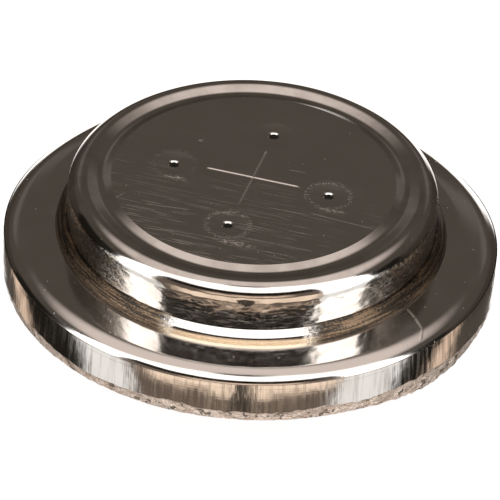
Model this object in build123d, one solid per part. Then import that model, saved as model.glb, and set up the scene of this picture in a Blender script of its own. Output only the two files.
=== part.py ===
from build123d import *
import math
import os

# Zinc-air button cell (11.6 mm size) pressed into a blanked adapter ring that brings it up to the
# 15.6 mm size. Millimetres, +Z up. The origin is the centre of the negative contact face, on which
# the cell stands; the air holes face up. Every piece but the holes and the cross is turned about Z.

# Overall sizes
cell_diameter = 11.6
cell_height = 5.3

# Adapter ring: flange, rolled upper edge, fracture band below, and a collar around the can
flange_width = 2.0           # from the can's side to the ring's edge, for 15.6 mm overall
boss_height = 3.5            # top of the can above the ring's underside
flange_thickness = 1.65
roll_width = 0.50            # the rolled edge slopes over this width before it turns down
roll_drop = 0.20
roll_share = 0.49            # how much of that slope each of its two roundings takes
fracture_height = 0.30
fracture_taper = 0.06
collar_height = 0.40
collar_foot_width = 0.36
collar_lip = 0.05
collar_round = 0.50          # radius of the rounding from the collar's lip down to its foot
ring_clearance = 0.01

# Positive can: drawn cup with a pressed ring groove in its top, crimped over the gasket below
can_side_wall = 0.20
can_top_wall = 0.25
can_edge_radius = 0.50
rim_width = 1.34             # from the can's side to the flat disc inside the groove
groove_depth = 0.10
groove_step_width = 0.32
groove_rise_width = 0.44
groove_floor_radius = 0.50
groove_crest_radius = 0.60
crimp_height = 0.80          # underside of the crimp above the contact face
crimp_radius = 0.45
crimp_lip_width = 0.68

# Air holes, each in a shallow dimple, and the engraved cross
air_hole_count = 4
air_hole_diameter = 0.28
air_hole_circle_radius = 2.52
air_hole_turn = 75.2         # degrees from +X to the first hole
air_hole_offset = (-0.08, 0.0)
dimple_radius = 0.68
dimple_depth = 0.02
countersink_radius = 0.22
countersink_depth = 0.06
cross_length = 3.0
cross_line_width = 0.08
cross_line_depth = 0.03
cross_turn = -14.8
cross_offset = (-0.03, 0.11)

# Negative cap and the nylon gasket that seals it in the can
gasket_wall = 0.25
gasket_foot_height = 0.15
gasket_foot_width = 0.60
gasket_lip_margin = 0.17     # how far the gasket shows past the crimp
cap_wall = 0.20
cap_shoulder_radius = 0.25
cap_neck_gap = 0.25          # between the gasket's lip and the cap's neck
cap_neck_fillet = 0.12
cap_edge_radius = 0.40

# The stack under the can's top, from the air side inwards
paper_margin = 0.21          # inside the flat disc's edge
paper_thickness = 0.10
membrane_margin = 0.25       # inside the can's wall
membrane_thickness = 0.07
film_margin = 0.15
film_thickness = 0.08
cathode_thickness = 0.35
cathode_clearance = 0.02
mesh_thickness = 0.06
mesh_hole_diameter = 0.55
mesh_pitch = 0.90
mesh_margin = 0.45
separator_thickness = 0.06

# Worked-out sizes
can_radius = cell_diameter / 2
can_inner_radius = can_radius - can_side_wall
ring_radius = can_radius + flange_width
ring_base = cell_height - boss_height
flange_top = ring_base + flange_thickness
collar_top = flange_top + collar_height
top_disc_radius = can_radius - rim_width
groove_floor = top_disc_radius + groove_step_width
groove_rim = groove_floor + groove_rise_width
ceiling = cell_height - can_top_wall
paper_base = ceiling - paper_thickness
membrane_base = paper_base - membrane_thickness
film_base = membrane_base - film_thickness
cathode_base = film_base - cathode_thickness
mesh_base = cathode_base - mesh_thickness
separator_base = mesh_base - separator_thickness
cathode_radius = can_inner_radius - cathode_clearance
gasket_inner_radius = can_inner_radius - gasket_wall
gasket_foot_base = separator_base - gasket_foot_height
crimp_inner_height = crimp_height + can_side_wall
crimp_lip_radius = can_radius - crimp_lip_width
gasket_lip_radius = crimp_lip_radius - gasket_lip_margin
cap_shoulder_height = crimp_inner_height + gasket_wall
cap_inner_radius = gasket_inner_radius - cap_wall
cap_neck_radius = gasket_lip_radius - cap_neck_gap


def turned(outline, rounds=()):
    """Solid of revolution about Z. The outline holds (radius, height) corners, and rounds holds
    (corner, fillet radius) pairs."""
    section = make_face(Polyline(*outline, close=True))
    for corner, radius in rounds:
        nearest = section.vertices().sort_by_distance((*corner, 0))[0]
        section = fillet(nearest, radius)
    return revolve(Plane.XZ * section, Axis.Z)


def disc(radius, base, thickness):
    """Round sheet lying flat."""
    return Pos(0, 0, base) * Cylinder(radius, thickness, align=(Align.CENTER, Align.CENTER, Align.MIN))


def adapter_ring():
    """Blanked ring: rolled top edge, burnished wall, tapered fracture band and a small collar."""
    bore = can_radius + ring_clearance
    foot = can_radius + collar_foot_width
    shoulder = (ring_radius - roll_width, flange_top)
    brow = (ring_radius, flange_top - roll_drop)
    outline = [
        (bore, ring_base),
        (ring_radius - fracture_taper, ring_base),
        (ring_radius, ring_base + fracture_height),
        brow,
        shoulder,
        (foot, flange_top),
        (bore + collar_lip, collar_top),
        (bore, collar_top),
    ]
    slope = math.atan2(roll_drop, roll_width)
    share = math.hypot(roll_drop, roll_width) * roll_share
    upper_roll = share / math.tan(slope / 2)
    lower_roll = share / math.tan((math.pi / 2 - slope) / 2)
    ring = turned(outline, [(shoulder, upper_roll), (brow, lower_roll)])
    return ring + collar_belly(Vector(bore + collar_lip, collar_top), Vector(foot, flange_top))


def collar_belly(lip, foot):
    """What the collar's rounding adds outside the straight line from its lip to its foot."""
    chord = foot - lip
    sag = collar_round - math.sqrt(collar_round ** 2 - (chord.length / 2) ** 2)
    outward = Vector(-chord.Y, chord.X).normalized()
    middle = (lip + foot) * 0.5 + outward * sag
    section = make_face([ThreePointArc(lip, middle, foot), Line(foot, lip)])
    return revolve(Plane.XZ * section, Axis.Z)


def positive_can():
    """Drawn cup, mouth down: pressed groove in the top, straight side, crimp folded in below."""
    edge = (can_radius, cell_height)
    floor = (groove_floor, cell_height - groove_depth)
    rim = (groove_rim, cell_height)
    inner_floor = (groove_floor, ceiling - groove_depth)
    inner_rim = (groove_rim, ceiling)
    inner_edge = (can_inner_radius, ceiling)
    crimp = (can_radius, crimp_height)
    inner_crimp = (can_inner_radius, crimp_inner_height)
    outline = [
        (0, cell_height),
        (top_disc_radius, cell_height),
        floor,
        rim,
        edge,
        crimp,
        (crimp_lip_radius, crimp_height),
        (crimp_lip_radius, crimp_inner_height),
        inner_crimp,
        inner_edge,
        inner_rim,
        inner_floor,
        (top_disc_radius, ceiling),
        (0, ceiling),
    ]
    rounds = [
        (floor, groove_floor_radius),
        (rim, groove_crest_radius),
        (edge, can_edge_radius),
        (crimp, crimp_radius),
        (inner_crimp, crimp_radius - can_side_wall),
        (inner_edge, can_edge_radius - can_top_wall),
        (inner_floor, groove_floor_radius),
    ]
    return turned(outline, rounds) - air_holes() - cross()


def air_holes():
    """Cutter for the air holes, each with its countersink and the shallow dimple around it."""
    centre = Pos(*air_hole_offset, cell_height)
    pattern = PolarLocations(air_hole_circle_radius, air_hole_count, start_angle=air_hole_turn)
    hole_radius = air_hole_diameter / 2
    drill = Cylinder(hole_radius, 4 * can_top_wall)
    sink = Pos(0, 0, -countersink_depth / 2) * Cone(hole_radius, countersink_radius, countersink_depth)
    ball_radius = (dimple_radius ** 2 + dimple_depth ** 2) / (2 * dimple_depth)
    dimple = Pos(0, 0, ball_radius - dimple_depth) * Sphere(ball_radius)
    dimple &= Box(4 * dimple_radius, 4 * dimple_radius, can_top_wall)
    tool = drill + sink + dimple
    return [centre * place * tool for place in pattern.locations]


def cross():
    """Cutter for the plus sign engraved between the air holes."""
    centre = Pos(*cross_offset, cell_height - cross_line_depth)
    bar = SlotOverall(cross_length, cross_line_width)
    plus = bar + Rot(0, 0, 90) * bar
    return centre * Rot(0, 0, cross_turn) * extrude(plus, 2 * cross_line_depth)


def negative_cap():
    """Cup with a narrower neck, mouth up: its flat end is the negative contact."""
    shoulder = (gasket_inner_radius, cap_shoulder_height)
    neck = (cap_neck_radius, cap_shoulder_height)
    edge = (cap_neck_radius, 0)
    inner_edge = (cap_neck_radius - cap_wall, cap_wall)
    inner_neck = (cap_neck_radius - cap_wall, cap_shoulder_height + cap_wall)
    outline = [
        (0, 0),
        edge,
        neck,
        shoulder,
        (gasket_inner_radius, gasket_foot_base),
        (cap_inner_radius, gasket_foot_base),
        (cap_inner_radius, cap_shoulder_height + cap_wall),
        inner_neck,
        inner_edge,
        (0, cap_wall),
    ]
    rounds = [
        (edge, cap_edge_radius),
        (neck, cap_neck_fillet),
        (shoulder, cap_shoulder_radius),
        (inner_edge, cap_edge_radius - cap_wall),
    ]
    return turned(outline, rounds)


def sealing_gasket():
    """Nylon ring that lines the can: a lip under the crimp, a wall, and a foot below the cathode."""
    crimp = (can_inner_radius, crimp_inner_height)
    shoulder = (gasket_inner_radius, cap_shoulder_height)
    foot_radius = can_inner_radius - gasket_foot_width
    outline = [
        (gasket_lip_radius, crimp_inner_height),
        crimp,
        (can_inner_radius, separator_base),
        (foot_radius, separator_base),
        (foot_radius, gasket_foot_base),
        (gasket_inner_radius, gasket_foot_base),
        shoulder,
        (gasket_lip_radius, cap_shoulder_height),
    ]
    rounds = [(crimp, crimp_radius - can_side_wall), (shoulder, cap_shoulder_radius)]
    return turned(outline, rounds)


def zinc_anode():
    """Zinc gel that fills the cap and meets the separator through the gasket's foot."""
    neck_inner_radius = cap_neck_radius - cap_wall
    shoulder_floor = cap_shoulder_height + cap_wall
    foot_radius = can_inner_radius - gasket_foot_width
    edge = (neck_inner_radius, cap_wall)
    outline = [
        (0, cap_wall),
        edge,
        (neck_inner_radius, shoulder_floor),
        (cap_inner_radius, shoulder_floor),
        (cap_inner_radius, gasket_foot_base),
        (foot_radius, gasket_foot_base),
        (foot_radius, separator_base),
        (0, separator_base),
    ]
    return turned(outline, [(edge, cap_edge_radius - cap_wall)])


def cathode_mesh():
    """Nickel screen, with its openings in a square grid inside a plain margin."""
    reach = cathode_radius - mesh_margin - mesh_hole_diameter / 2
    steps = int(reach // mesh_pitch)
    grid = [mesh_pitch * step for step in range(-steps, steps + 1)]
    centres = [(x, y) for x in grid for y in grid if math.hypot(x, y) <= reach]
    openings = [Pos(x, y) * Circle(mesh_hole_diameter / 2) for x, y in centres]
    sheet = Circle(cathode_radius) - openings
    return Pos(0, 0, mesh_base) * extrude(sheet, mesh_thickness)


pieces = {
    "adapter_ring": adapter_ring(),
    "positive_can": positive_can(),
    "negative_cap": negative_cap(),
    "sealing_gasket": sealing_gasket(),
    "diffusion_paper": disc(top_disc_radius - paper_margin, paper_base, paper_thickness),
    "air_membrane": disc(can_inner_radius - membrane_margin, membrane_base, membrane_thickness),
    "cathode_film": disc(can_inner_radius - film_margin, film_base, film_thickness),
    "air_cathode": disc(cathode_radius, cathode_base, cathode_thickness),
    "cathode_mesh": cathode_mesh(),
    "separator": disc(cathode_radius, separator_base, separator_thickness),
    "zinc_anode": zinc_anode(),
}

os.makedirs("parts", exist_ok=True)
for node, shape in pieces.items():
    export_step(shape, f"parts/{node}.step")
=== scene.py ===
import math

import bmesh
import bpy
from mathutils import Matrix, Vector, noise
from mathutils.geometry import delaunay_2d_cdt


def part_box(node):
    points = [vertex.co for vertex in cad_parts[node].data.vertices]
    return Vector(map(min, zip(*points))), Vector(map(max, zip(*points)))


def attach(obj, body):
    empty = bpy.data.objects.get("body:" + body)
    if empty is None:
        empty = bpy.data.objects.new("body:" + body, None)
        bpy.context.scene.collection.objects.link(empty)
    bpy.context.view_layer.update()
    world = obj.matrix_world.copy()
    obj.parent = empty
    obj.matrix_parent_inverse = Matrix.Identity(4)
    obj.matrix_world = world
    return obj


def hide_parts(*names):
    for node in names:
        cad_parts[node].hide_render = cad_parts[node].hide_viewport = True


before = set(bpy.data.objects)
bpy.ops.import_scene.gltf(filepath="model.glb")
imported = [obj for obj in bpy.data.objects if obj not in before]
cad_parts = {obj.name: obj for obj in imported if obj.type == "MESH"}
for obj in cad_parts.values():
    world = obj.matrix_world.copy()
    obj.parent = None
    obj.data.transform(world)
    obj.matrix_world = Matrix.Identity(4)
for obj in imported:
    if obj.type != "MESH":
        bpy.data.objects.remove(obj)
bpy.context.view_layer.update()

# Looks of the zinc-air cell in its adapter ring. Profiles and marks are in millimetres, in the
# frame's own axes: Z up, -Y towards the camera, +X to the camera's right.
MM = 0.001

# ---------------------------------------------------------------- sizes read from the frame
ring_low, ring_high = (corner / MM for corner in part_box("adapter_ring"))
can_low, can_high = (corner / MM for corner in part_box("positive_can"))
cap_low, cap_high = (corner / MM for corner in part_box("negative_cap"))
gasket_low, gasket_high = (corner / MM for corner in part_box("sealing_gasket"))
paper_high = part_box("diffusion_paper")[1] / MM

ring_radius = ring_high.x
ring_base = ring_low.z
collar_top = ring_high.z
can_radius = can_high.x
can_top = can_high.z
crimp_height = can_low.z
ceiling = paper_high.z
cap_radius = cap_high.x
cap_top = cap_high.z
gasket_radius = gasket_high.x

# Adapter ring
COLLAR_HEIGHT = 0.40
FLANGE_TOP = collar_top - COLLAR_HEIGHT
BORE_GAP = 0.01
RING_BORE = can_radius + BORE_GAP
ROLL_WIDTH = 0.44
ROLL_DROP = 0.20
ROLL_LEAD = 0.28
ROLL_SHOULDER_FILLET = 0.72
ROLL_BROW_FILLET = 0.43
WALL_BULGE = 0.055
WALL_BULGE_START = 0.68
WALL_ROWS = 8
FRACTURE_HEIGHT = 0.36
FRACTURE_TAPER = 0.06
FRACTURE_RAGGED = 0.10
FRACTURE_GRAIN = 0.045
FRACTURE_FADE = 0.40
FRACTURE_ROWS = 9
STRAY_SLOW = 6
STRAY_QUICK = 26
GRAIN_SCALE = 3.2
GRAIN_SCALE_UP = 5
COLLAR_FOOT_WIDTH = 0.35
COLLAR_LIP = 0.05
COLLAR_BROW_WIDTH = 0.06
COLLAR_BROW_HEIGHT = 0.20
COLLAR_FILLET = 0.28
BURR_DROP = 0.20
BURR_ANGLE = math.radians(-42)
BURR_SPREAD = math.radians(15)
BURR_UNEVEN = 0.35
BURR_SCALE = 40
# Where the flange's edge is bent down at the back: direction, spread, depth and width
SAGS = [
    (math.radians(42), math.radians(34), 0.34, 1.25),
    (math.radians(137), math.radians(24), 0.20, 1.0),
]
SAG_CURVE = 1.3
SAG_ROWS = 7

# Positive can
RIM_WIDTH = 1.34
GROOVE_INNER_SLOPE = 0.32
GROOVE_OUTER_SLOPE = 0.44
DISC_RADIUS = can_radius - RIM_WIDTH
GROOVE_FLOOR_RADIUS = DISC_RADIUS + GROOVE_INNER_SLOPE
GROOVE_RIM_RADIUS = GROOVE_FLOOR_RADIUS + GROOVE_OUTER_SLOPE
GROOVE_DEPTH = 0.10
GROOVE_FLOOR_FILLET = 0.50
GROOVE_RIM_FILLET = 0.60
TOP_EDGE_FILLET = 0.50
CRIMP_FILLET = 0.45
CRIMP_LIP_FILLET = 0.04
CAN_INNER_FILLET = 0.25
CAN_SIDE_WALL = 0.20
CRIMP_LIP_WIDTH = 0.68
HOLE_RADIUS = 0.14
HOLE_CIRCLE_RADIUS = 2.52
HOLE_TURN = math.radians(75.2)
HOLE_OFFSET = Vector((-0.08, 0.0))
HOLE_WALL_MIDDLE = 0.16
HOLE_CENTRES = [
    HOLE_OFFSET + HOLE_CIRCLE_RADIUS * Vector((math.cos(angle), math.sin(angle)))
    for angle in (HOLE_TURN + quarter * math.pi / 2 for quarter in range(4))
]
DIMPLE_RADIUS = 0.68
DIMPLE_DEPTH = 0.02
SINK_RADIUS = 0.19
SINK_DEPTH = 0.045
SINK_CURVE = 1.5
CROSS_CENTRE = Vector((-0.03, 0.11))
CROSS_TURN = math.radians(-14.8)
CROSS_LENGTH = 3.0
CROSS_HALF_WIDTH = 0.045
CROSS_DEPTH = 0.0130
CROSS_STEPS = 24

# Negative cap and gasket
CAP_NECK_RADIUS = 4.70
CAP_SHOULDER_HEIGHT = gasket_low.z + 0.25
CAP_WALL = 0.20
CAP_HUB_RADIUS = 0.02
CAP_FACE_FILLET = 0.40
CAP_NECK_FILLET = 0.12
CAP_SHOULDER_FILLET = 0.25
CAP_INNER_FILLET = 0.20
GASKET_LIP_RADIUS = 4.95
GASKET_FOOT_RADIUS = 5.0
GASKET_LIP_FILLET = 0.03
GASKET_FILLET = 0.25

# Meshing
RING_SEGMENTS = 720
CAN_SEGMENTS = 480
INNER_SEGMENTS = 384
HOLE_SEGMENTS = 32
ARC_STEP = math.radians(4)
SUPPORT = 0.012
WELD = 0.0008
FINE_SHARP = math.radians(11)
COARSE_SHARP = math.radians(24)


# ---------------------------------------------------------------- mesh tools
def rounded(corners):
    """Closed outline with its corners rounded. Each corner is (radius, height, fillet, finish), and
    the finish is that of the stretch after it."""
    points = []
    for index, (radius, height, fillet, finish) in enumerate(corners):
        here = Vector((radius, height))
        back = Vector(corners[index - 1][:2]) - here
        on = Vector(corners[(index + 1) % len(corners)][:2]) - here
        earlier = corners[index - 1][3]
        support = min(SUPPORT, back.length / 4, on.length / 4)
        turn = math.pi - back.angle(on)
        reach = fillet * math.tan(turn / 2)
        back.normalize()
        on.normalize()
        points.append((*(here + back * (reach + support)), earlier))
        if fillet:
            centre = here + (back + on).normalized() * fillet / math.cos(turn / 2)
            side = 1 if back.x * on.y - back.y * on.x < 0 else -1
            spoke = here + back * reach - centre
            steps = max(2, math.ceil(turn / ARC_STEP))
            for step in range(steps + 1):
                swing = Matrix.Rotation(side * turn * step / steps, 2)
                points.append((*(centre + swing @ spoke), finish))
        else:
            points.append((radius, height, finish))
        points.append((*(here + on * (reach + support)), finish))
    return points


def lathe(points, segments, shape=None, closed=True):
    """Turned (vertices in mm, faces, finishes) from outline points (radius, height, finish)."""
    vertices = []
    for radius, height, _ in points:
        for step in range(segments):
            angle = 2 * math.pi * step / segments
            r, z = shape(radius, height, angle) if shape else (radius, height)
            vertices.append(Vector((r * math.cos(angle), r * math.sin(angle), z)))
    faces = []
    finishes = []
    last = len(points) if closed else len(points) - 1
    for row in range(last):
        first = row * segments
        second = (row + 1) % len(points) * segments
        for step in range(segments):
            after = (step + 1) % segments
            faces.append((first + step, second + step, second + after, first + after))
            finishes.append(points[row][2])
    return vertices, faces, finishes


def make_piece(name, parts, materials, sharp_angle):
    """One object in metres from several (vertices, faces, finishes), joined where they meet."""
    mesh = bpy.data.meshes.new(name)
    names = list(materials)
    bm = bmesh.new()
    for vertices, faces, finishes in parts:
        made = [bm.verts.new(vertex * MM) for vertex in vertices]
        for face, finish in zip(faces, finishes):
            if len({made[i].co.to_tuple(9) for i in face}) < 3:
                continue
            new = bm.faces.new([made[i] for i in face])
            new.material_index = names.index(finish)
            new.smooth = True
    bmesh.ops.remove_doubles(bm, verts=bm.verts, dist=WELD * MM)
    bmesh.ops.dissolve_degenerate(bm, edges=bm.edges, dist=WELD * MM / 10)
    bmesh.ops.recalc_face_normals(bm, faces=bm.faces)
    bm.to_mesh(mesh)
    bm.free()
    for finish in names:
        mesh.materials.append(materials[finish])
    mesh.set_sharp_from_angle(angle=sharp_angle)
    piece = bpy.data.objects.new(name, mesh)
    bpy.context.scene.collection.objects.link(piece)
    return piece


# ---------------------------------------------------------------- node graph helper
class Graph:
    """Short calls for building a node tree. Values may be numbers or sockets."""

    def __init__(self, tree):
        self.tree = tree
        tree.nodes.clear()

    def add(self, kind, **settings):
        node = self.tree.nodes.new(kind)
        for key, value in settings.items():
            setattr(node, key, value)
        return node

    def put(self, socket, value):
        if isinstance(value, bpy.types.NodeSocket):
            self.tree.links.new(value, socket)
        elif value is not None:
            socket.default_value = value

    def math(self, operation, *values):
        node = self.add("ShaderNodeMath", operation=operation)
        for socket, value in zip(node.inputs, values):
            self.put(socket, value)
        return node.outputs[0]

    def times(self, *values):
        result = values[0]
        for value in values[1:]:
            result = self.math("MULTIPLY", result, value)
        return result

    def plus(self, *values):
        result = values[0]
        for value in values[1:]:
            result = self.math("ADD", result, value)
        return result

    def invert(self, value):
        return self.math("SUBTRACT", 1.0, value)

    def most(self, *values):
        result = values[0]
        for value in values[1:]:
            result = self.math("MAXIMUM", result, value)
        return result

    def distance(self, x, y, point):
        dx = self.math("SUBTRACT", x, point[0])
        dy = self.math("SUBTRACT", y, point[1])
        return self.math("SQRT", self.plus(self.times(dx, dx), self.times(dy, dy)))

    def step(self, value, low, high):
        """0 below low and 1 above high, eased between them."""
        node = self.add("ShaderNodeMapRange", interpolation_type="SMOOTHSTEP")
        self.put(node.inputs["Value"], value)
        self.put(node.inputs["From Min"], low)
        self.put(node.inputs["From Max"], high)
        return node.outputs[0]

    def ramp(self, value, low, high, to_low, to_high):
        node = self.add("ShaderNodeMapRange")
        for key, number in (("Value", value), ("From Min", low), ("From Max", high),
                            ("To Min", to_low), ("To Max", to_high)):
            self.put(node.inputs[key], number)
        return node.outputs[0]

    def band(self, value, low, high, soft):
        rise = self.step(value, low - soft, low + soft)
        fall = self.step(value, high - soft, high + soft)
        return self.math("SUBTRACT", rise, fall)

    def blend(self, factor, first, second):
        node = self.add("ShaderNodeMix", data_type="RGBA")
        self.put(node.inputs[0], factor)
        self.put(node.inputs[6], first)
        self.put(node.inputs[7], second)
        return node.outputs[2]

    def xyz(self, vector):
        node = self.add("ShaderNodeSeparateXYZ")
        self.put(node.inputs[0], vector)
        return node.outputs[0], node.outputs[1], node.outputs[2]

    def vector(self, x, y, z):
        node = self.add("ShaderNodeCombineXYZ")
        for socket, value in zip(node.inputs, (x, y, z)):
            self.put(socket, value)
        return node.outputs[0]

    def noise(self, vector, scale, detail=3.0, roughness=0.55):
        node = self.add("ShaderNodeTexNoise")
        self.put(node.inputs["Vector"], vector)
        self.put(node.inputs["Scale"], scale)
        self.put(node.inputs["Detail"], detail)
        self.put(node.inputs["Roughness"], roughness)
        return node.outputs["Fac"]

    def specks(self, vector, scale, size):
        """1 in small round specks that lie at random, 0 elsewhere."""
        node = self.add("ShaderNodeTexVoronoi")
        self.put(node.inputs["Vector"], vector)
        self.put(node.inputs["Scale"], scale)
        near = self.invert(self.step(node.outputs["Distance"], size * 0.6, size))
        pick = self.xyz(node.outputs["Color"])[0]
        return self.times(near, self.step(pick, 0.55, 0.6))

    def bump(self, height, distance, strength=1.0, normal=None):
        node = self.add("ShaderNodeBump")
        self.put(node.inputs["Height"], height)
        self.put(node.inputs["Distance"], distance)
        self.put(node.inputs["Strength"], strength)
        self.put(node.inputs["Normal"], normal)
        return node.outputs[0]


def new_material(name):
    material = bpy.data.materials.new(name)
    material.use_nodes = True
    graph = Graph(material.node_tree)
    place = graph.add("ShaderNodeTexCoord")
    scaled = graph.add("ShaderNodeVectorMath", operation="SCALE")
    graph.put(scaled.inputs[0], place.outputs["Object"])
    graph.put(scaled.inputs["Scale"], 1 / MM)
    return material, graph, scaled.outputs[0]


def finish_material(graph, colour, metallic, roughness, normal=None):
    shader = graph.add("ShaderNodeBsdfPrincipled")
    output = graph.add("ShaderNodeOutputMaterial")
    graph.put(shader.inputs["Base Color"], colour)
    graph.put(shader.inputs["Metallic"], metallic)
    graph.put(shader.inputs["Roughness"], roughness)
    graph.put(shader.inputs["Normal"], normal)
    graph.put(output.inputs["Surface"], shader.outputs[0])
    return shader


# ---------------------------------------------------------------- metal finishes
NICKEL = (0.64, 0.61, 0.58, 1.0)
NICKEL_DULL = (0.50, 0.47, 0.44, 1.0)
SCRATCH_COLOUR = (0.74, 0.69, 0.65, 1.0)
GOLDEN = (0.93, 0.83, 0.67, 1.0)
TARNISH = (0.50, 0.42, 0.33, 1.0)
# Grime for the can's dark grit, and painted shade for the back of the can's side
GRIME_AND_PAINTED_SHADE = (0.16, 0.14, 0.12, 1.0)
# Painted shade for the inside of the air holes, in two grain tones
HOLE_PAINTED_SHADE_LIGHT = (0.05, 0.045, 0.04, 1.0)
HOLE_PAINTED_SHADE_DARK = (0.02, 0.018, 0.016, 1.0)
# Painted shade on the collar's flanks
COLLAR_PAINTED_SHADE = (0.045, 0.038, 0.031, 1.0)
COLLAR_WORN = (0.25, 0.175, 0.115, 1.0)
TORN_CRACK = (0.30, 0.26, 0.22, 1.0)
TORN_DULL = (0.74, 0.65, 0.59, 1.0)
TORN_PALE = (1.00, 0.92, 0.86, 1.0)

# How far each finish's relief reaches, in metres
DISC_RELIEF = 0.000004
SIDE_RELIEF = 0.000014
FLANGE_RELIEF = 0.000006
WALL_RELIEF = 0.000014
COLLAR_RELIEF = 0.000014
TORN_RELIEF = 0.00009
HIDDEN_RELIEF = 0.000005

# Where wear and painted shade start and where they are full, as angles round the part from its front
CAN_FRONT = (math.radians(19), math.radians(27))
CAN_FLANK = (math.radians(39), math.radians(48))
CAN_PAINTED_SHADE = (math.radians(84), math.radians(98))
FRECKLED = (math.radians(34), math.radians(60))
COLLAR_FLANK = (math.radians(19), math.radians(25))
COLLAR_SKEW = math.radians(2)

# Scratches on the top disc: start and end (x, y) in mm, and half width
LONG_SCRATCHES = [
    ((-3.31, -1.59), (-1.97, -1.78), 0.016),
    ((-3.30, -2.85), (-2.37, -2.97), 0.016),
    ((1.86, -1.65), (3.79, -2.29), 0.014),
    ((-4.30, -1.39), (-3.98, -1.06), 0.014),
    ((0.55, -1.45), (1.75, -1.75), 0.010),
    ((-0.10, -3.10), (1.90, -3.62), 0.010),
    ((1.10, 0.62), (1.62, 0.50), 0.012),
]
SCRATCH_STRENGTH = 0.7
SCRATCH_FADE = 0.12
HAIRLINE_STRENGTH = 0.55
CROSS_STRENGTHS = (0.75, 0.40)
CROSS_MARK_HALF_WIDTH = 0.05
# Scuffs on the top disc: middle, half length along the brushing and half width
SCUFFS = [
    ((-0.45, -3.42), 0.85, 0.22),
    ((-2.50, -0.10), 0.60, 0.16),
    ((2.45, -1.42), 0.60, 0.13),
    ((-1.70, 1.95), 0.12, 0.10),
]
SCUFF_STRENGTH = 0.95
# Speckled rings round the back, left, front and right holes
SPECKLED_RING = (0.60, 0.78)
SPECKLED_RING_FADE = 0.05
SPECKLED_STRENGTHS = (0.08, 0.35, 0.80, 0.70)
# Outline and middle of the dried drop on the flange
RESIDUE = [(4.94, -3.82), (5.19, -4.26), (5.41, -4.80), (5.38, -5.32), (5.05, -6.00)]
RESIDUE_HALF_WIDTH = 0.06
RESIDUE_CENTRE = (4.65, -4.85)
RESIDUE_FILM = (0.55, 0.95)


def from_front(graph, x, y):
    """Angle round the part from its front, positive to the right."""
    return graph.math("ARCTAN2", x, graph.times(y, -1.0))


def drawn_noise(graph, first, second, scales, seed, detail, roughness=0.55):
    """Noise stretched by a scale of its own along each of two coordinates."""
    place = graph.vector(graph.times(first, scales[0]), graph.times(second, scales[1]), seed)
    return graph.noise(place, 1.0, detail, roughness)


def brushing():
    """Unit vectors along and across the brushing of the top disc."""
    along = Vector((math.cos(CROSS_TURN), math.sin(CROSS_TURN)))
    return along, Vector((-along.y, along.x))


def on_axis(graph, x, y, axis):
    return graph.plus(graph.times(x, axis.x), graph.times(y, axis.y))


def segment_mask(graph, x, y, start, end, half_width):
    """1 on a thin straight mark from start to end, fading at its ends."""
    run = Vector(end) - Vector(start)
    length = run.length
    run.normalize()
    dx = graph.math("SUBTRACT", x, start[0])
    dy = graph.math("SUBTRACT", y, start[1])
    along = on_axis(graph, dx, dy, run)
    across = graph.math("ABSOLUTE", on_axis(graph, dx, dy, Vector((-run.y, run.x))))
    inside = graph.band(along, 0.0, length, SCRATCH_FADE)
    line = graph.invert(graph.step(across, half_width * 0.3, half_width))
    return graph.times(inside, line)


def scuff_mask(graph, along, across, centre, half_length, half_width):
    """1 inside an oval patch drawn out along the brushing, fading at its edge."""
    axis, side = brushing()
    middle = Vector(centre)
    u = graph.math("DIVIDE", graph.math("SUBTRACT", along, middle @ axis), half_length)
    v = graph.math("DIVIDE", graph.math("SUBTRACT", across, middle @ side), half_width)
    reach = graph.math("SQRT", graph.plus(graph.times(u, u), graph.times(v, v)))
    return graph.invert(graph.step(reach, 0.3, 1.1))


def cross_arms():
    """End points of the two arms of the cross."""
    arm = Matrix.Rotation(CROSS_TURN, 2) @ Vector((CROSS_LENGTH / 2, 0))
    other = Vector((-arm.y, arm.x))
    return [(CROSS_CENTRE - arm, CROSS_CENTRE + arm), (CROSS_CENTRE - other, CROSS_CENTRE + other)]


def disc_scratches(graph, x, y, along, across, patch):
    """Hairlines, denser towards the front, the single scratches and the rubbed cross."""
    lines = drawn_noise(graph, along, across, (0.55, 17.0), 3.0, 2.0)
    forward = graph.plus(y, graph.times(x, 0.25))
    front = graph.ramp(forward, -3.6, 1.6, 1.0, 0.18)
    hairlines = graph.times(graph.step(lines, 0.55, 0.66), front, graph.step(patch, 0.30, 0.50))
    marks = graph.times(hairlines, HAIRLINE_STRENGTH)
    for (start, end), strength in zip(cross_arms(), CROSS_STRENGTHS):
        arm = segment_mask(graph, x, y, start, end, CROSS_MARK_HALF_WIDTH)
        marks = graph.most(marks, graph.times(arm, strength))
    for start, end, half_width in LONG_SCRATCHES:
        scratch = segment_mask(graph, x, y, start, end, half_width)
        marks = graph.most(marks, graph.times(scratch, SCRATCH_STRENGTH))
    return marks


def disc_scuffs(graph, along, across, grit):
    scuffs = 0.0
    for centre, half_length, half_width in SCUFFS:
        patch = scuff_mask(graph, along, across, centre, half_length, half_width)
        scuffs = graph.most(scuffs, patch)
    return graph.times(scuffs, graph.step(grit, 0.42, 0.62), SCUFF_STRENGTH)


def speckled_rings(graph, place, x, y, grit):
    rings = 0.0
    for centre, strength in zip(HOLE_CENTRES, SPECKLED_STRENGTHS):
        band = graph.band(graph.distance(x, y, centre), *SPECKLED_RING, SPECKLED_RING_FADE)
        rings = graph.most(rings, graph.times(band, strength))
    worn = graph.step(grit, 0.48, 0.62)
    return graph.times(rings, graph.most(graph.specks(place, 11.0, 0.34), graph.times(worn, 0.7)))


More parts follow.
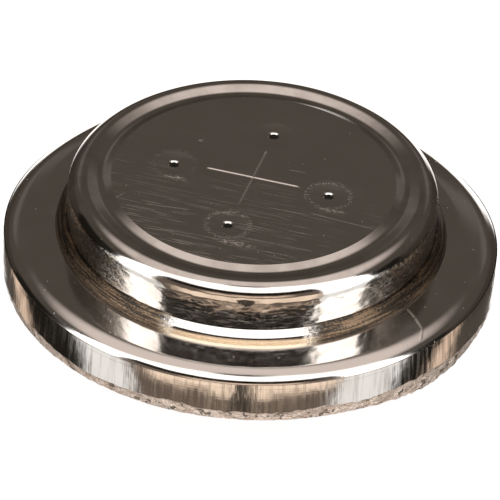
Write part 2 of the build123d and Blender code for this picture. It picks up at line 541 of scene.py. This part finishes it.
def top_disc_finish():
    """Polished nickel with fine brushing, scratches, scuffs and speckled rings round the holes."""
    material, graph, place = new_material("nickel_top_disc")
    x, y, _ = graph.xyz(place)
    along, across = (on_axis(graph, x, y, axis) for axis in brushing())
    fine = drawn_noise(graph, along, across, (0.7, 26.0), 0.0, 4.0)
    grit = drawn_noise(graph, along, across, (6.0, 18.0), 1.0, 2.0)
    patch = graph.noise(graph.vector(x, y, 7.0), 0.55, 2.0)
    scratches = disc_scratches(graph, x, y, along, across, patch)
    scuffs = disc_scuffs(graph, along, across, grit)
    rings = speckled_rings(graph, place, x, y, grit)
    dust = graph.times(graph.specks(place, 2.6, 0.07), 0.8)
    wear = graph.most(scratches, scuffs, rings, dust)
    haze = graph.ramp(patch, 0.3, 0.7, 0.0, 0.02)
    roughness = graph.plus(0.115, haze, graph.times(wear, 0.32), graph.times(fine, 0.03))
    colour = graph.blend(wear, NICKEL, SCRATCH_COLOUR)
    height = graph.plus(graph.times(fine, 0.25), graph.times(wear, -0.5))
    finish_material(graph, colour, 1.0, roughness, graph.bump(height, DISC_RELIEF, 0.5))
    return material


def rim_freckles(graph, place, x, y, z, facing, blotch):
    """Tiny pale specks crowded on the rounded edge of the can, away from its front."""
    rim = graph.band(z, can_top - 0.62, can_top - 0.03, 0.04)
    axis_distance = graph.distance(x, y, (0.0, 0.0))
    outer = graph.step(axis_distance, GROOVE_RIM_RADIUS, GROOVE_RIM_RADIUS + 0.15)
    crowd = graph.times(graph.step(facing, *FRECKLED), outer, rim)
    return graph.times(crowd, graph.specks(place, 9.0, 0.22), graph.step(blotch, 0.42, 0.56))


def rim_finish():
    """The groove, the rounded edge and the side of the can: bright in front, gritty on the flanks, and
    darkened with painted shade from the sides round to the back.
    """
    material, graph, place = new_material("nickel_can_side")
    x, y, z = graph.xyz(place)
    turn = from_front(graph, x, y)
    around = graph.times(turn, can_radius)
    facing = graph.math("ABSOLUTE", turn)
    side = graph.invert(graph.step(z, can_top - 0.42, can_top - 0.22))
    lower = graph.invert(graph.step(z, can_top - 0.95, can_top - 0.75))
    flank = graph.times(side, graph.step(facing, *CAN_FLANK))
    front = graph.invert(graph.step(facing, *CAN_FRONT))
    wavy = graph.noise(graph.vector(x, y, graph.times(z, 1.7)), 2.6, 1.2, 0.4)
    turned = graph.noise(graph.vector(0.0, 0.0, z), 16.0, 2.0)
    grit = drawn_noise(graph, around, z, (8.0, 11.0), 0.0, 5.0, 0.7)
    blotch = drawn_noise(graph, around, z, (1.5, 5.0), 9.0, 3.0)
    mottle = drawn_noise(graph, around, z, (3.6, 13.0), 4.0, 4.0, 0.65)
    pale_grit = graph.times(flank, graph.step(grit, 0.54, 0.68), 0.6)
    dark_grit = graph.times(flank, graph.invert(graph.step(grit, 0.42, 0.55)))
    patches = graph.times(side, front, lower, graph.step(mottle, 0.48, 0.66), 0.20)
    pale = graph.most(pale_grit, patches, rim_freckles(graph, place, x, y, z, facing, blotch))
    height = graph.plus(graph.times(wavy, side), graph.times(turned, 0.06),
                        graph.times(grit, flank, 1.3), graph.times(mottle, patches, 0.5))
    cloud = graph.noise(place, 1.1, 3.0)
    haze = graph.ramp(cloud, 0.35, 0.7, 0.0, 0.05)
    roughness = graph.plus(0.07, haze, graph.times(pale, 0.24))
    tone = graph.blend(graph.step(cloud, 0.35, 0.75), NICKEL, NICKEL_DULL)
    tone = graph.blend(graph.times(flank, graph.step(blotch, 0.42, 0.60)), tone, TARNISH)
    tone = graph.blend(dark_grit, tone, GRIME_AND_PAINTED_SHADE)
    # Painted shade: below its top edge, the can's side is darkened from its left and right sides round to
    # the back.
    below_edge = graph.invert(graph.step(z, can_top - 0.22, can_top - 0.08))
    behind = graph.times(graph.step(facing, *CAN_PAINTED_SHADE), below_edge, 0.75)
    tone = graph.blend(behind, tone, GRIME_AND_PAINTED_SHADE)
    tone = graph.blend(graph.times(pale, 0.7), tone, SCRATCH_COLOUR)
    finish_material(graph, tone, 1.0, roughness, graph.bump(height, SIDE_RELIEF, 0.9))
    return material


def flange_residue(graph, x, y, z, fine):
    """Outline of the dried drop and the film inside it, on the flange's top only."""
    on_top = graph.step(z, FLANGE_TOP - 0.12, FLANGE_TOP - 0.04)
    outline = 0.0
    for start, end in zip(RESIDUE, RESIDUE[1:]):
        outline = graph.most(outline, segment_mask(graph, x, y, start, end, RESIDUE_HALF_WIDTH))
    film = graph.invert(graph.step(graph.distance(x, y, RESIDUE_CENTRE), *RESIDUE_FILM))
    film = graph.times(film, on_top, graph.ramp(fine, 0.3, 0.7, 0.3, 1.0))
    return graph.times(outline, on_top), film


def ring_plate_finish():
    """Top of the flange and its rolled edge, with a dried drop at the right."""
    material, graph, place = new_material("nickel_flange")
    x, y, z = graph.xyz(place)
    cloud = graph.noise(place, 0.9, 3.0)
    dust = graph.specks(place, 3.4, 0.10)
    fine = graph.noise(place, 14.0, 3.0)
    outline, film = flange_residue(graph, x, y, z, fine)
    haze = graph.ramp(cloud, 0.35, 0.7, 0.0, 0.06)
    roughness = graph.plus(0.09, haze, graph.times(dust, 0.3),
                           graph.times(outline, 0.22), graph.times(film, 0.12))
    height = graph.plus(graph.times(fine, 0.2), cloud, graph.times(dust, 0.3), graph.times(outline, 1.5))
    mark = graph.most(graph.times(dust, 0.6), graph.times(outline, 0.5))
    colour = graph.blend(mark, NICKEL, SCRATCH_COLOUR)
    finish_material(graph, colour, 1.0, roughness, graph.bump(height, FLANGE_RELIEF, 0.5))
    return material


def ring_wall_finish():
    """Burnished edge of the flange with fine marks drawn down it."""
    material, graph, place = new_material("nickel_flange_wall")
    x, y, z = graph.xyz(place)
    around = graph.times(graph.math("ARCTAN2", y, x), ring_radius)
    drag = drawn_noise(graph, around, z, (9.0, 0.5), 0.0, 4.0)
    coarse = drawn_noise(graph, around, z, (1.4, 1.1), 5.0, 2.0)
    height = graph.plus(graph.times(drag, 0.35), graph.times(coarse, 1.2))
    roughness = graph.plus(0.09, graph.ramp(drag, 0.4, 0.75, 0.0, 0.20))
    tone = graph.blend(graph.step(drag, 0.45, 0.8), NICKEL, NICKEL_DULL)
    finish_material(graph, tone, 1.0, roughness, graph.bump(height, WALL_RELIEF, 0.8))
    return material


def fracture_finish():
    """Torn steel band below the burnished wall."""
    material, graph, place = new_material("torn_steel")
    grain = graph.noise(place, 7.0, 5.0, 0.65)
    coarse = graph.noise(place, 2.2, 3.0)
    solid = graph.step(graph.noise(place, 4.0, 2.0), 0.37, 0.43)
    height = graph.plus(grain, graph.times(coarse, 0.8), graph.times(solid, 0.5))
    roughness = graph.ramp(grain, 0.3, 0.7, 0.20, 0.38)
    pale = graph.blend(graph.step(coarse, 0.38, 0.62), TORN_DULL, TORN_PALE)
    tone = graph.blend(solid, TORN_CRACK, pale)
    finish_material(graph, tone, 1.0, roughness, graph.bump(height, TORN_RELIEF, 1.0))
    return material


def collar_finish():
    """Collar round the can: bright in front, golden at the foot, and on the flanks dull and rough, with
    golden worn streaks over near-black painted shade.
    """
    material, graph, place = new_material("nickel_collar")
    x, y, z = graph.xyz(place)
    turn = from_front(graph, x, y)
    around = graph.times(turn, can_radius)
    facing = graph.math("ABSOLUTE", graph.plus(turn, COLLAR_SKEW))
    grit = drawn_noise(graph, around, z, (11.0, 26.0), 0.0, 5.0, 0.7)
    streak = drawn_noise(graph, around, z, (0.7, 16.0), 2.0, 2.0)
    wavy = graph.noise(place, 1.8, 2.0)
    foot = graph.invert(graph.step(z, FLANGE_TOP + 0.10, FLANGE_TOP + 0.22))
    ragged = graph.plus(facing, graph.times(graph.math("SUBTRACT", grit, 0.5), 0.25))
    flank = graph.step(ragged, *COLLAR_FLANK)
    worn = graph.step(graph.plus(grit, streak), 0.90, 1.18)
    roughness = graph.plus(0.07, graph.times(foot, 0.06), graph.times(grit, 0.08), graph.times(flank, 0.26))
    relief = graph.plus(graph.times(foot, 0.4), 0.08, graph.times(flank, 0.9))
    height = graph.plus(graph.times(grit, relief), graph.times(wavy, 0.3))
    tone = graph.blend(foot, NICKEL, GOLDEN)
    # Painted shade: past the front, the collar is near-black metal, with golden worn streaks over it.
    tone = graph.blend(flank, tone, graph.blend(worn, COLLAR_PAINTED_SHADE, COLLAR_WORN))
    finish_material(graph, tone, 1.0, roughness, graph.bump(height, COLLAR_RELIEF, 0.9))
    return material


def plain_nickel(name, roughness):
    """Hidden bright metal: a soft cloud of roughness and a faint drawing grain."""
    material, graph, place = new_material(name)
    cloud = graph.noise(place, 1.3, 3.0)
    grain = graph.noise(place, 18.0, 3.0)
    spread = graph.ramp(cloud, 0.3, 0.7, roughness, roughness + 0.08)
    normal = graph.bump(graph.plus(graph.times(grain, 0.2), cloud), HIDDEN_RELIEF, 0.5)
    tone = graph.blend(graph.step(cloud, 0.35, 0.75), NICKEL, NICKEL_DULL)
    finish_material(graph, tone, 1.0, spread, normal)
    return material


def grained(name, light, dark, scale, roughness, metallic, relief):
    """Plain material with a fine two-tone grain."""
    material, graph, place = new_material(name)
    grain = graph.noise(place, scale, 5.0, 0.6)
    tone = graph.blend(graph.step(grain, 0.35, 0.65), dark, light)
    finish_material(graph, tone, metallic, roughness, graph.bump(grain, relief, 0.8))
    return material


# ---------------------------------------------------------------- adapter ring
def turn_between(direction, angle):
    """Signed turn from direction to angle, within half a turn."""
    return (angle - direction + math.pi) % (2 * math.pi) - math.pi


def noise_round(angle, scale, seed):
    """Smooth noise that closes on itself round the ring."""
    return noise.noise(Vector((math.cos(angle) * scale, math.sin(angle) * scale, seed)))


def fracture_line(angle):
    """How far the torn band's upper limit strays from its mean height, in mm."""
    slow = noise_round(angle, STRAY_SLOW, 2.0)
    quick = noise_round(angle, STRAY_QUICK, 5.0)
    return FRACTURE_RAGGED * (slow + 0.7 * quick)


def burr(angle):
    """How far the torn edge hangs down where the burr is, in mm."""
    drop = BURR_DROP * math.exp(-(turn_between(BURR_ANGLE, angle) / BURR_SPREAD) ** 2)
    return drop * (1 + BURR_UNEVEN * noise_round(angle, BURR_SCALE, 9.0))


def back_sag(radius, height, angle):
    """How far the flange's top lies lower where its edge is bent down, in mm."""
    bend_start = ring_base + WALL_BULGE_START
    share = min(1, max(0, (height - bend_start) / (FLANGE_TOP - ROLL_DROP - bend_start)))
    total = 0
    for direction, spread, depth, width in SAGS:
        reach = max(0, 1 - (ring_radius - radius) / width)
        total += depth * reach ** SAG_CURVE * math.exp(-(turn_between(direction, angle) / spread) ** 2)
    return total * share


def ring_shape(radius, height, angle):
    """Roughens the torn band, moves its upper limit up and down and bends the back edge down."""
    line = ring_base + FRACTURE_HEIGHT
    if height > line + FRACTURE_FADE:
        return radius, height - back_sag(radius, height, angle)
    if radius <= ring_radius - 2 * FRACTURE_TAPER:
        return radius, height
    stray = fracture_line(angle)
    if height > line:
        return radius, height + stray * (1 - (height - line) / FRACTURE_FADE)
    share = (height - ring_base) / FRACTURE_HEIGHT
    x = math.cos(angle) * ring_radius
    y = math.sin(angle) * ring_radius
    place = Vector((x * GRAIN_SCALE, y * GRAIN_SCALE, height * GRAIN_SCALE_UP))
    grain = noise.fractal(place, 0.9, 2.0, 4)
    bite = FRACTURE_GRAIN * (0.45 + 0.5 * grain) * min(1, 5 * (1 - share))
    return radius - max(0.0, bite), height + stray * share - burr(angle) * (1 - share)


def torn_rows():
    """Rows of the torn band between its two edges."""
    edge = ring_radius - FRACTURE_TAPER
    shares = [row / FRACTURE_ROWS for row in range(1, FRACTURE_ROWS)]
    return [
        (edge + FRACTURE_TAPER * share, ring_base + FRACTURE_HEIGHT * share, 0, "torn")
        for share in shares
    ]


def wall_rows(top):
    """Rows of the burnished wall, which leans in a little towards its top."""
    start = ring_base + WALL_BULGE_START
    shares = [row / WALL_ROWS for row in range(WALL_ROWS)]
    return [
        (ring_radius - WALL_BULGE * share ** 2, start + (top - start) * share, 0, "wall")
        for share in shares
    ]


def flat_rows():
    """Rows across the flange's flat, which let its back edge bend."""
    inner = ring_radius - max(width for *_, width in SAGS)
    outer = ring_radius - ROLL_WIDTH - ROLL_LEAD
    shares = [row / SAG_ROWS for row in range(SAG_ROWS + 1)]
    return [(outer + (inner - outer) * share, FLANGE_TOP, 0, "plate") for share in shares]


def ring_outline():
    foot = can_radius + COLLAR_FOOT_WIDTH
    brow_height = FLANGE_TOP - ROLL_DROP
    return [
        (RING_BORE, ring_base, 0, "plate"),
        (ring_radius - FRACTURE_TAPER, ring_base, 0, "torn"),
        *torn_rows(),
        (ring_radius, ring_base + FRACTURE_HEIGHT, 0, "wall"),
        *wall_rows(brow_height),
        (ring_radius - WALL_BULGE, brow_height, ROLL_BROW_FILLET, "plate"),
        (ring_radius - ROLL_WIDTH, FLANGE_TOP, ROLL_SHOULDER_FILLET, "plate"),
        *flat_rows(),
        (foot, FLANGE_TOP, 0, "collar"),
        (foot - COLLAR_BROW_WIDTH, FLANGE_TOP + COLLAR_BROW_HEIGHT, COLLAR_FILLET, "collar"),
        (RING_BORE + COLLAR_LIP, collar_top, 0, "collar"),
        (RING_BORE, collar_top, 0, "plate"),
    ]


def make_ring():
    materials = {
        "plate": ring_plate_finish(),
        "wall": ring_wall_finish(),
        "torn": fracture_finish(),
        "collar": collar_finish(),
    }
    body = lathe(rounded(ring_outline()), RING_SEGMENTS, ring_shape)
    return make_piece("adapter_ring_skin", [body], materials, COARSE_SHARP)


# ---------------------------------------------------------------- positive can
# Radii of the mesh loops round each hole, and the inset and count of those inside the disc's edge
HOLE_RINGS = (HOLE_RADIUS, 0.157, 0.173, SINK_RADIUS, 0.25, 0.34, 0.44, 0.54, 0.62, DIMPLE_RADIUS, 0.74)
EDGE_LOOPS = ((0.05, 256), (0.25, 128))


def circle(centre, radius, count):
    spokes = (2 * math.pi * step / count for step in range(count))
    return [Vector((centre[0] + radius * math.cos(a), centre[1] + radius * math.sin(a))) for a in spokes]


def loop_edges(first, count):
    return [(first + step, first + (step + 1) % count) for step in range(count)]


def cross_local(point):
    return Matrix.Rotation(-CROSS_TURN, 2) @ (point - CROSS_CENTRE)


def top_height(point):
    """Height of the top disc at a point: dimples and countersinks at the holes, and the cross."""
    height = can_top
    for centre in HOLE_CENTRES:
        away = (point - centre).length
        if away < DIMPLE_RADIUS:
            height -= DIMPLE_DEPTH * (1 - (away / DIMPLE_RADIUS) ** 2)
        if away < SINK_RADIUS:
            height -= SINK_DEPTH * ((SINK_RADIUS - away) / (SINK_RADIUS - HOLE_RADIUS)) ** SINK_CURVE
    spot = cross_local(point)
    for along, across in ((spot.x, spot.y), (spot.y, spot.x)):
        to_end = CROSS_LENGTH / 2 - abs(along)
        if to_end > 0 and abs(across) < CROSS_HALF_WIDTH:
            taper = min(1, to_end / (2 * CROSS_HALF_WIDTH))
            height -= CROSS_DEPTH * taper * (1 - abs(across) / CROSS_HALF_WIDTH)
    return max(height, can_top - CROSS_DEPTH - SINK_DEPTH)


def cross_lines():
    """The cross's edges and centre lines, as runs of points in the disc's plane."""
    back = Matrix.Rotation(CROSS_TURN, 2)
    half = CROSS_LENGTH / 2
    lines = []
    for across in (-CROSS_HALF_WIDTH, 0, CROSS_HALF_WIDTH):
        inner = half - 2 * CROSS_HALF_WIDTH
        places = [inner * (2 * step / CROSS_STEPS - 1) for step in range(CROSS_STEPS + 1)]
        if across == 0:
            places = [-half, *places, half]
        for swap in (False, True):
            run = [(across, place) if swap else (place, across) for place in places]
            lines.append([CROSS_CENTRE + back @ Vector(point) for point in run])
    return lines


def disc_mesh(height_at, rings, lines, finish, flip):
    """Round plate with the four holes left out, as (vertices, faces, finishes)."""
    points = circle((0, 0), DISC_RADIUS, CAN_SEGMENTS)
    edges = loop_edges(0, CAN_SEGMENTS)
    for inset, count in EDGE_LOOPS:
        points += circle((0, 0), DISC_RADIUS - inset, count)
    for centre in HOLE_CENTRES:
        for radius in rings:
            edges += loop_edges(len(points), HOLE_SEGMENTS)
            points += circle(centre, radius, HOLE_SEGMENTS)
    for run in lines:
        edges += [(len(points) + step, len(points) + step + 1) for step in range(len(run) - 1)]
        points += run
    flat, _, faces, *_ = delaunay_2d_cdt(points, edges, [], 0, 1e-5)
    kept = []
    for face in faces:
        middle = sum((flat[i] for i in face), Vector((0, 0))) / len(face)
        if all((middle - centre).length > HOLE_RADIUS * 0.98 for centre in HOLE_CENTRES):
            kept.append(tuple(reversed(face)) if flip else tuple(face))
    vertices = [Vector((p.x, p.y, height_at(p))) for p in flat]
    return vertices, kept, [finish] * len(kept)


def hole_walls():
    """Bores of the air holes, from the top disc down to the paper."""
    vertices = []
    faces = []
    for centre in HOLE_CENTRES:
        first = len(vertices)
        rim = circle(centre, HOLE_RADIUS, HOLE_SEGMENTS)
        for height in (top_height, lambda point: can_top - HOLE_WALL_MIDDLE, lambda point: ceiling):
            vertices += [Vector((point.x, point.y, height(point))) for point in rim]
        for row in range(2):
            for step in range(HOLE_SEGMENTS):
                a = first + row * HOLE_SEGMENTS + step
                b = first + row * HOLE_SEGMENTS + (step + 1) % HOLE_SEGMENTS
                faces.append((a, b, b + HOLE_SEGMENTS, a + HOLE_SEGMENTS))
    return vertices, faces, ["bore"] * len(faces)


def can_outline():
    """The can without its top disc, from the disc's edge round the crimp and back to the ceiling."""
    inner = can_radius - CAN_SIDE_WALL
    lip = can_radius - CRIMP_LIP_WIDTH
    floor = crimp_height + CAN_SIDE_WALL
    corners = [
        (DISC_RADIUS, can_top, 0, "side"),
        (GROOVE_FLOOR_RADIUS, can_top - GROOVE_DEPTH, GROOVE_FLOOR_FILLET, "side"),
        (GROOVE_RIM_RADIUS, can_top, GROOVE_RIM_FILLET, "side"),
        (can_radius, can_top, TOP_EDGE_FILLET, "side"),
        (can_radius, crimp_height, CRIMP_FILLET, "side"),
        (lip, crimp_height, CRIMP_LIP_FILLET, "side"),
        (lip, floor, CRIMP_LIP_FILLET, "side"),
        (inner, floor, CAN_INNER_FILLET, "side"),
        (inner, ceiling, CAN_INNER_FILLET, "side"),
        (GROOVE_RIM_RADIUS, ceiling, 0, "side"),
        (GROOVE_FLOOR_RADIUS, ceiling - GROOVE_DEPTH, GROOVE_FLOOR_FILLET, "side"),
        (DISC_RADIUS, ceiling, 0, "side"),
    ]
    return rounded(corners)[1:-1]


def make_can():
    materials = {
        "disc": top_disc_finish(),
        "side": rim_finish(),
        # The bores are painted shade: near-black metal with a fine grain stands in for the dark inside of
        # the holes.
        "bore": grained("hole_wall", HOLE_PAINTED_SHADE_LIGHT, HOLE_PAINTED_SHADE_DARK, 30.0, 0.5, 0.6, 0.000002),
    }
    body = lathe(can_outline(), CAN_SEGMENTS, closed=False)
    top = disc_mesh(top_height, HOLE_RINGS, cross_lines(), "disc", False)
    underside = disc_mesh(lambda p: ceiling, (HOLE_RADIUS,), [], "side", True)
    return make_piece("positive_can_skin", [body, top, underside, hole_walls()], materials, FINE_SHARP)


# ---------------------------------------------------------------- negative cap and gasket
def make_cap():
    neck_inner = CAP_NECK_RADIUS - CAP_WALL
    inner = cap_radius - CAP_WALL
    shoulder = CAP_SHOULDER_HEIGHT
    corners = [
        (CAP_HUB_RADIUS, cap_low.z, 0, "metal"),
        (CAP_NECK_RADIUS, cap_low.z, CAP_FACE_FILLET, "metal"),
        (CAP_NECK_RADIUS, shoulder, CAP_NECK_FILLET, "metal"),
        (cap_radius, shoulder, CAP_SHOULDER_FILLET, "metal"),
        (cap_radius, cap_top, 0, "metal"),
        (inner, cap_top, 0, "metal"),
        (inner, shoulder + CAP_WALL, 0, "metal"),
        (neck_inner, shoulder + CAP_WALL, 0, "metal"),
        (neck_inner, cap_low.z + CAP_WALL, CAP_INNER_FILLET, "metal"),
        (CAP_HUB_RADIUS, cap_low.z + CAP_WALL, 0, "metal"),
    ]
    outline = rounded(corners)[1:-1]
    hub = [(0.0, cap_low.z, "metal"), *outline, (0.0, cap_low.z + CAP_WALL, "metal")]
    body = lathe(hub, INNER_SEGMENTS, closed=False)
    metal = plain_nickel("nickel_cap", 0.12)
    return make_piece("negative_cap_skin", [body], {"metal": metal}, FINE_SHARP)


def make_gasket():
    foot = GASKET_FOOT_RADIUS
    shoulder = CAP_SHOULDER_HEIGHT
    nylon = grained("nylon", (0.84, 0.82, 0.76, 1), (0.74, 0.71, 0.64, 1), 5.0, 0.42, 0.0, 0.000004)
    corners = [
        (GASKET_LIP_RADIUS, gasket_low.z, GASKET_LIP_FILLET, "nylon"),
        (gasket_radius, gasket_low.z, GASKET_FILLET, "nylon"),
        (gasket_radius, gasket_high.z, 0, "nylon"),
        (foot, gasket_high.z, 0, "nylon"),
        (foot, cap_top, 0, "nylon"),
        (cap_radius, cap_top, 0, "nylon"),
        (cap_radius, shoulder, GASKET_FILLET, "nylon"),
        (GASKET_LIP_RADIUS, shoulder, GASKET_LIP_FILLET, "nylon"),
    ]
    body = lathe(rounded(corners), INNER_SEGMENTS)
    return make_piece("sealing_gasket_skin", [body], {"nylon": nylon}, FINE_SHARP)


# ---------------------------------------------------------------- the inner pieces keep their CAD meshes
def dress(node, material):
    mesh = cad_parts[node].data
    mesh.materials.clear()
    mesh.materials.append(material)


# Light and dark tone, grain scale, roughness, metallic and relief of each hidden material
INNER_LOOKS = {
    "paper": ((0.88, 0.86, 0.82, 1), (0.76, 0.73, 0.68, 1), 9.0, 0.9, 0.0, 0.00001),
    "membrane_film": ((0.93, 0.93, 0.93, 1), (0.84, 0.84, 0.85, 1), 12.0, 0.5, 0.0, 0.000004),
    "carbon": ((0.05, 0.05, 0.05, 1), (0.015, 0.015, 0.015, 1), 14.0, 0.8, 0.0, 0.00001),
    "nickel_screen": ((0.62, 0.60, 0.57, 1), (0.48, 0.46, 0.43, 1), 10.0, 0.38, 1.0, 0.000005),
    "separator_felt": ((0.90, 0.88, 0.84, 1), (0.78, 0.75, 0.69, 1), 11.0, 0.95, 0.0, 0.00001),
    "zinc_gel": ((0.40, 0.41, 0.43, 1), (0.22, 0.23, 0.25, 1), 8.0, 0.45, 0.3, 0.00002),
}
INNER_PIECES = {
    "diffusion_paper": "paper",
    "air_membrane": "membrane_film",
    "cathode_film": "membrane_film",
    "air_cathode": "carbon",
    "cathode_mesh": "nickel_screen",
    "separator": "separator_felt",
    "zinc_anode": "zinc_gel",
}


def dress_inner_pieces():
    materials = {name: grained(name, *look) for name, look in INNER_LOOKS.items()}
    for node, name in INNER_PIECES.items():
        dress(node, materials[name])


# ---------------------------------------------------------------- camera, floor and studio
CAMERA_DISTANCE = 0.200
CAMERA_ELEVATION = math.radians(36.52)
CAMERA_PITCH = math.radians(36.343)
CAMERA_ROLL = math.radians(3.05)
LENS = 456.8
SENSOR = 36.0


def make_camera():
    """Camera at the photograph's angle, level with its roll."""
    data = bpy.data.cameras.new("camera")
    data.lens = LENS
    data.sensor_width = SENSOR
    data.clip_start = 0.01
    data.clip_end = 10.0
    camera = bpy.data.objects.new("camera", data)
    bpy.context.scene.collection.objects.link(camera)
    forward = Vector((0, math.cos(CAMERA_PITCH), -math.sin(CAMERA_PITCH)))
    up = Vector((0, math.sin(CAMERA_PITCH), math.cos(CAMERA_PITCH)))
    right = Vector((1, 0, 0))
    side = right * math.cos(CAMERA_ROLL) + up * math.sin(CAMERA_ROLL)
    top = up * math.cos(CAMERA_ROLL) - right * math.sin(CAMERA_ROLL)
    turn = Matrix((side, top, -forward)).transposed()
    away = Vector((0, -math.cos(CAMERA_ELEVATION), math.sin(CAMERA_ELEVATION))) * CAMERA_DISTANCE
    camera.matrix_world = Matrix.Translation(away + Vector((0, 0, ring_base * MM))) @ turn.to_4x4()
    bpy.context.scene.camera = camera


FLOOR_HALF = 0.6
FLOOR_SHADE = (0.25, 0.25, 0.25, 1)
FLOOR_GLOW = 0.92


def make_floor():
    """A plain pale floor that takes shadows but isn't mirrored in the metal."""
    mesh = bpy.data.meshes.new("floor")
    bm = bmesh.new()
    signs = ((-1, -1), (1, -1), (1, 1), (-1, 1))
    bm.faces.new([bm.verts.new((x * FLOOR_HALF, y * FLOOR_HALF, 0)) for x, y in signs])
    bm.to_mesh(mesh)
    bm.free()
    floor = bpy.data.objects.new("floor", mesh)
    bpy.context.scene.collection.objects.link(floor)
    material = bpy.data.materials.new("pale_floor")
    material.use_nodes = True
    graph = Graph(material.node_tree)
    shade = graph.add("ShaderNodeBsdfDiffuse")
    shade.inputs["Color"].default_value = FLOOR_SHADE
    glow = graph.add("ShaderNodeEmission")
    glow.inputs["Strength"].default_value = FLOOR_GLOW
    both = graph.add("ShaderNodeAddShader")
    output = graph.add("ShaderNodeOutputMaterial")
    graph.put(both.inputs[0], shade.outputs[0])
    graph.put(both.inputs[1], glow.outputs[0])
    graph.put(output.inputs[0], both.outputs[0])
    mesh.materials.append(material)
    floor.visible_glossy = False
    floor.visible_diffuse = False


# What the bright metal mirrors, by direction from the part: azimuth in degrees from the camera's
# side, positive to the right, and elevation. Each panel is (colour, azimuths, elevations, softness),
# and one whose first azimuth is the larger runs round behind.
ROOM = (0.098, 0.084, 0.071, 1)
ROOM_LOW = (0.066, 0.054, 0.044, 1)
ROOM_PINK = (0.97, 0.85, 0.79, 1)
SOFTBOX = (2.1, 2.05, 2.0, 1)
BOX_HIGH = (3.4, 3.35, 3.3, 1)
BOX_LOW = (1.25, 1.24, 1.22, 1)
BACKDROP = (1.8, 1.75, 1.7, 1)
BLACK = (0.016, 0.014, 0.011, 1)
BROWN = (0.190, 0.145, 0.115, 1)
CREAM = (1.10, 0.83, 0.64, 1)
CREAM_BRIGHT = (1.40, 1.12, 0.88, 1)
CREAM_DIM = (0.60, 0.46, 0.37, 1)
SIDE_GREY = (0.17, 0.152, 0.138, 1)
PANELS = [
    (ROOM_LOW, (-181, 181), (-30, 14), (1, 8)),
    (ROOM_PINK, (-181, 181), (50, 91), (1, 9)),
    (ROOM, (-88, 88), (82.5, 90), (3, 1.2)),
    (SOFTBOX, (-80, 80), (45, 83), (2, 1.2)),
    (BLACK, (-75, 75), (27, 43), (4, 1.5)),
    (BROWN, (-60, 60), (-75, 26), (6, 2)),
    (CREAM, (-25, 25), (14, 24), (5, 1.5)),
    (CREAM_BRIGHT, (-42, 42), (-29, 8), (6, 2)),
    (CREAM_BRIGHT, (-14, 14), (-34, -12), (3, 2)),
    (CREAM_DIM, (-60, 60), (-90, -44), (6, 2)),
    (BOX_LOW, (-78, -52), (-90, 0), (1.2, 4)),
    (BOX_HIGH, (-82, -56), (-8, 52), (1.2, 3)),
    (BOX_LOW, (44, 75), (-90, 0), (1.5, 4)),
    (BOX_HIGH, (44, 75), (-8, 52), (1.5, 3)),
    (BACKDROP, (159, -159), (-90, -6), (4, 3)),
    (BACKDROP, (156, 175), (-90, 4), (3, 3)),
    (BACKDROP, (-175, -163), (-90, -2), (3, 3)),
    (SIDE_GREY, (148, 173), (24, 33), (4, 2)),
    (SIDE_GREY, (-173, -148), (24, 33), (4, 2)),
    (BLACK, (-120, -81), (-90, 22), (1.5, 6)),
    (BLACK, (74, 97), (-90, 22), (1.5, 6)),
    (CREAM, (-133, -120), (-90, -24), (2, 4)),
    (CREAM, (97, 110), (-90, -24), (2, 4)),
    (ROOM_LOW, (-4.5, 4.5), (-42, -8), (0.7, 1.5)),
]


def make_world():
    world = bpy.data.worlds.new("studio")
    world.use_nodes = True
    bpy.context.scene.world = world
    graph = Graph(world.node_tree)
    place = graph.add("ShaderNodeTexCoord")
    x, y, z = graph.xyz(place.outputs["Generated"])
    degrees = 180 / math.pi
    azimuth = graph.times(graph.math("ARCTAN2", x, graph.times(y, -1.0)), degrees)
    elevation = graph.times(graph.math("ARCSINE", z), degrees)
    colour = ROOM
    for tone, azimuths, elevations, soft in PANELS:
        around = graph.band(azimuth, min(azimuths), max(azimuths), soft[0])
        if azimuths[0] > azimuths[1]:
            around = graph.math("SUBTRACT", 1.0, around)
        mask = graph.times(around, graph.band(elevation, *elevations, soft[1]))
        colour = graph.blend(mask, colour, tone)
    seen = graph.add("ShaderNodeLightPath")
    colour = graph.blend(seen.outputs["Is Camera Ray"], colour, (1, 1, 1, 1))
    background = graph.add("ShaderNodeBackground")
    output = graph.add("ShaderNodeOutputWorld")
    graph.put(background.inputs["Color"], colour)
    graph.put(output.inputs["Surface"], background.outputs[0])
    world.cycles.sampling_method = "MANUAL"
    world.cycles.sample_map_resolution = 1024


# ---------------------------------------------------------------- putting it together
make_camera()
make_floor()
make_world()
bpy.context.scene.view_settings.view_transform = "Standard"

skins = [
    (make_ring(), "adapter_ring", "ring_metal"),
    (make_can(), "positive_can", "can_metal"),
    (make_cap(), "negative_cap", "cap_metal"),
    (make_gasket(), "sealing_gasket", "gasket_nylon"),
]
for skin, node, slot in skins:
    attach(skin, "root")
    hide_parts(node)
dress_inner_pieces()
